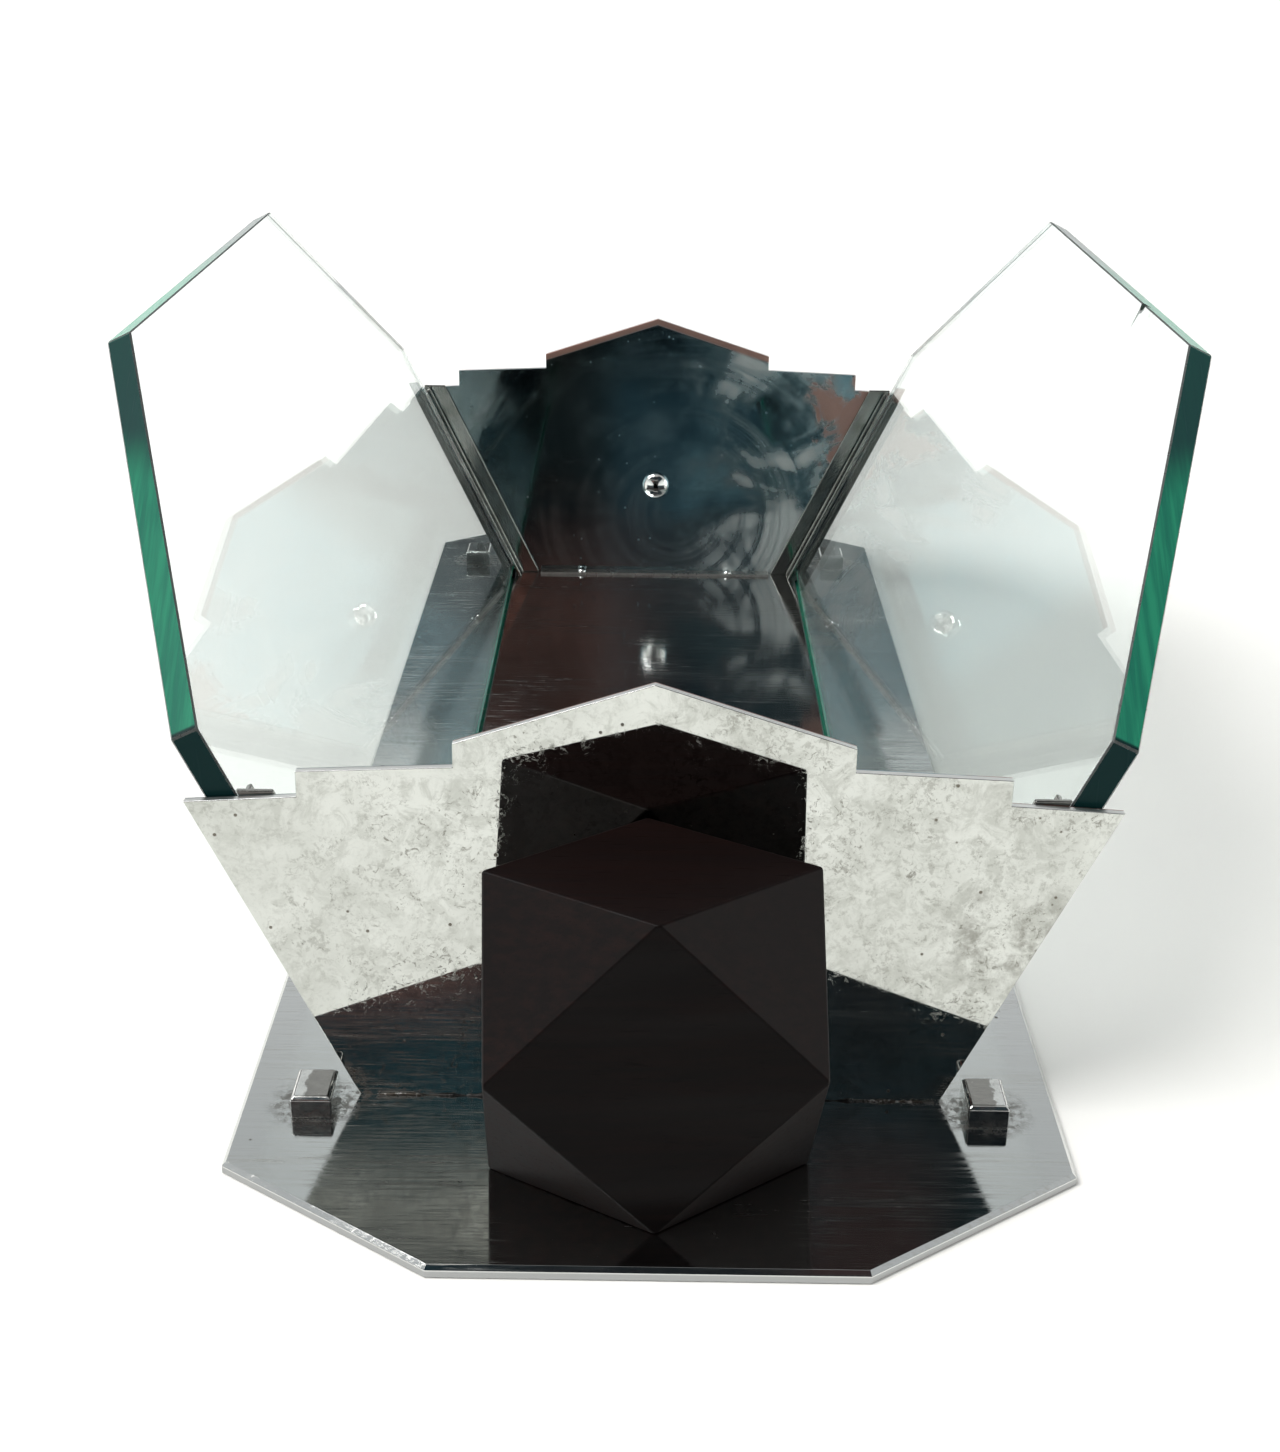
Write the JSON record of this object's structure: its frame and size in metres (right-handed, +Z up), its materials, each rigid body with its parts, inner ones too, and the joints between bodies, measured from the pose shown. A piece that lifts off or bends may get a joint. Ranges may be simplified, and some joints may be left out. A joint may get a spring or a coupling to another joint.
{
  "type": "glass-sided table centrepiece",
  "caption": "Long open trough with stepped metal end plates and flaring glass sides on an elongated octagonal base, with a faceted dark wood block outside each end.",
  "frame": {"origin": "centre of the base plate's underside, on the surface that the object stands on", "axes": "+Z up; +Y along the length, from the front end to the rear end; +X to the right as seen from the front end"},
  "size_m": [0.2032, 0.38, 0.1188],
  "materials": {
    "base_metal": "polished nickel plate with fine brushed streaks and scratches",
    "plate_metal": "polished nickel plate with speckled tarnish and pits",
    "channel_metal": "dull polished nickel plate",
    "lug_metal": "polished, softly rubbed edges",
    "screw_metal": "bright nickel-plated steel",
    "rivet_metal": "bright, lightly worn",
    "washer_metal": "plain steel",
    "clear_glass": "clear float glass with green cut edges",
    "dark_wood": "satin, very dark brown, fine straight grain"
  },
  "bodies": {
    "frame": {"base_plate": "base_metal", "end_plate_front": "plate_metal", "end_plate_rear": "plate_metal", "inner_angle_front_left": "channel_metal", "inner_angle_front_right": "channel_metal", "inner_angle_rear_left": "channel_metal", "inner_angle_rear_right": "channel_metal", "outer_strip_front_left": "channel_metal", "outer_strip_front_right": "channel_metal", "outer_strip_rear_left": "channel_metal", "outer_strip_rear_right": "channel_metal", "wood_block_front": "dark_wood", "wood_block_rear": "dark_wood", "block_screw_front": "screw_metal", "block_screw_rear": "screw_metal", "block_washer_front": "washer_metal", "block_washer_rear": "washer_metal", "foot_strip_front": "channel_metal", "foot_strip_rear": "channel_metal", "foot_rivets_front": "rivet_metal", "foot_rivets_rear": "rivet_metal", "corner_lug_front_left": "lug_metal", "corner_lug_front_right": "lug_metal", "corner_lug_rear_left": "lug_metal", "corner_lug_rear_right": "lug_metal", "lug_screw_front_left": "screw_metal", "lug_screw_front_right": "screw_metal", "lug_screw_rear_left": "screw_metal", "lug_screw_rear_right": "screw_metal"},
    "glass_left": {"glass_left": "clear_glass"},
    "glass_right": {"glass_right": "clear_glass"}
  },
  "joints": [
    {"name": "glass_left_lift", "type": "slide", "parent": "frame", "child": "glass_left", "axis": [-0.4309, 0, 0.9024], "range_m": [0, 0.06]},
    {"name": "glass_right_lift", "type": "slide", "parent": "frame", "child": "glass_right", "axis": [0.4309, 0, 0.9024], "range_m": [0, 0.06]}
  ]
}
